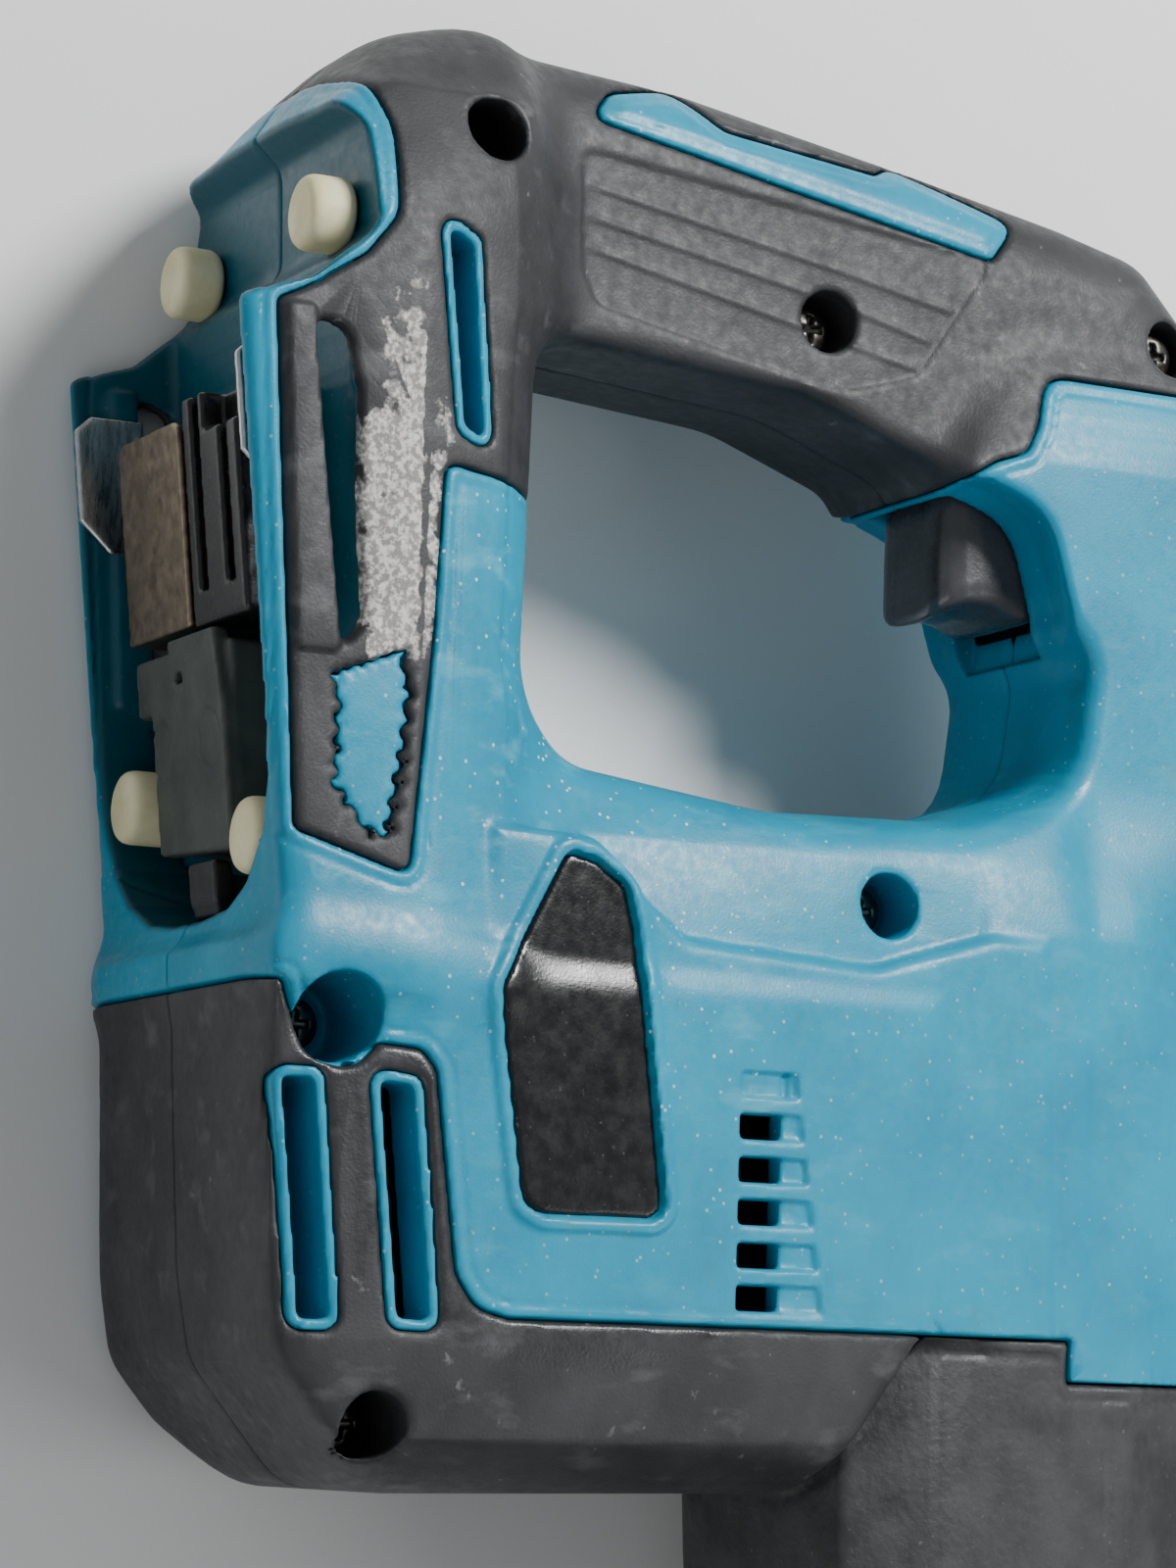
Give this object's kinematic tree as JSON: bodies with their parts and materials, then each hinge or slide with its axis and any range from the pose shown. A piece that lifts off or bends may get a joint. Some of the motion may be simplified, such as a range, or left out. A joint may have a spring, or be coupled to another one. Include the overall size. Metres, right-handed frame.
{
  "type": "reciprocating saw",
  "caption": "Cordless reciprocating saw with a D-shaped rear handle, upright motor, open battery dock, pivoting shoe and blade; no battery fitted.",
  "frame": {"origin": "centre of the overall box, on its underside: the saw lies on its left side", "axes": "+X from the handle along the blade, +Y towards the saw's top in use, +Z towards its right-hand side"},
  "size_m": [0.5128, 0.1894, 0.081],
  "materials": {
    "housing_plastic": "satin moulded nylon, scuffed",
    "soft_covering": "matt moulded elastomer",
    "seal_rubber": "matt",
    "label_plate": "thin printed plate, left plain",
    "damper_rubber": "matt cream",
    "plated_steel": "zinc plated",
    "bright_steel": "ground",
    "dark_steel": "dull",
    "black_plastic": "semi-gloss",
    "magnet": "sintered ferrite",
    "grey_plastic": "matt",
    "contact_copper": "bright",
    "bush_bronze": "sintered bronze",
    "cast_aluminium": "as cast",
    "lamp_lens": "clear moulded lens",
    "blade_steel": "lacquered"
  },
  "bodies": {
    "housing": {"housing_right": "housing_plastic", "housing_left": "housing_plastic", "grip_right": "soft_covering", "grip_left": "soft_covering", "bumper_right": "soft_covering", "bumper_left": "soft_covering", "label": "label_plate", "screw_corner": "bright_steel", "screw_handle": "bright_steel", "screw_top": "bright_steel", "screw_body": "bright_steel", "screw_dock": "bright_steel", "screw_bumper": "bright_steel", "dock_damper_1": "damper_rubber", "dock_damper_2": "damper_rubber", "dock_damper_3": "damper_rubber", "dock_damper_4": "damper_rubber", "rail_guard_right": "plated_steel", "rail_guard_left": "plated_steel", "terminal_cover_plate": "dark_steel", "terminal_block": "black_plastic", "contact_positive": "contact_copper", "contact_negative": "contact_copper", "dock_cover": "grey_plastic", "latch_catch": "black_plastic", "controller": "grey_plastic", "switch_unit": "black_plastic", "motor_case": "dark_steel", "motor_magnets": "magnet", "motor_bearing_lower": "bright_steel", "motor_bearing_upper": "bright_steel", "crank_bearing": "bright_steel", "guide_bush": "bush_bronze", "shaft_seal": "seal_rubber", "gear_housing": "cast_aluminium", "front_cover": "soft_covering", "lamp": "lamp_lens"},
    "rotor": {"armature": "dark_steel", "fan": "black_plastic", "motor_shaft": "bright_steel", "pinion": "bright_steel"},
    "crank": {"crank_gear": "dark_steel", "crank_shaft": "bright_steel", "crank_pin": "bright_steel"},
    "slider": {"slider_yoke": "dark_steel", "slider_shaft": "bright_steel", "clamp_body": "bright_steel", "blade": "blade_steel"},
    "clamp_sleeve": {"clamp_sleeve": "dark_steel"},
    "trigger": {"trigger": "black_plastic"},
    "shoe_post": {"shoe_post": "plated_steel", "shoe_pin": "dark_steel"},
    "shoe": {"shoe": "plated_steel"},
    "shoe_button": {"shoe_button": "black_plastic"}
  },
  "joints": [
    {"name": "rotor_spin", "type": "hinge", "parent": "housing", "child": "rotor", "pos_m": [-0.07058, -0.03826, 0.0405], "axis": [0, 1, 0], "continuous": true},
    {"name": "crank_turn", "type": "hinge", "parent": "housing", "child": "crank", "pos_m": [-0.04358, 0.02574, 0.0405], "axis": [0, 1, 0], "continuous": true},
    {"name": "slider_stroke", "type": "slide", "parent": "housing", "child": "slider", "axis": [1, 0, 0], "range_m": [-0.01, 0.01]},
    {"name": "clamp_turn", "type": "hinge", "parent": "slider", "child": "clamp_sleeve", "pos_m": [0.11142, 0.05174, 0.0405], "axis": [1, 0, 0], "range_deg": [0, 60], "stiffness_Nm_per_rad": 0.05, "springref_deg": -17.19},
    {"name": "trigger_pull", "type": "slide", "parent": "housing", "child": "trigger", "axis": [-1, 0, 0], "range_m": [0, 0.007], "stiffness_N_per_m": 600, "springref_m": -0.004},
    {"name": "shoe_adjust", "type": "slide", "parent": "housing", "child": "shoe_post", "axis": [1, 0, 0], "range_m": [0, 0.02]},
    {"name": "shoe_tilt", "type": "hinge", "parent": "shoe_post", "child": "shoe", "pos_m": [0.13342, 0.02924, 0.0405], "axis": [0, 0, 1], "range_deg": [-15, 15]},
    {"name": "shoe_button_press", "type": "slide", "parent": "housing", "child": "shoe_button", "axis": [0, 1, 0], "range_m": [0, 0.002], "stiffness_N_per_m": 500, "springref_m": -0.002}
  ],
  "couplings": [
    {"joint": "crank_turn", "follows": "rotor_spin", "ratio": -0.2}
  ]
}
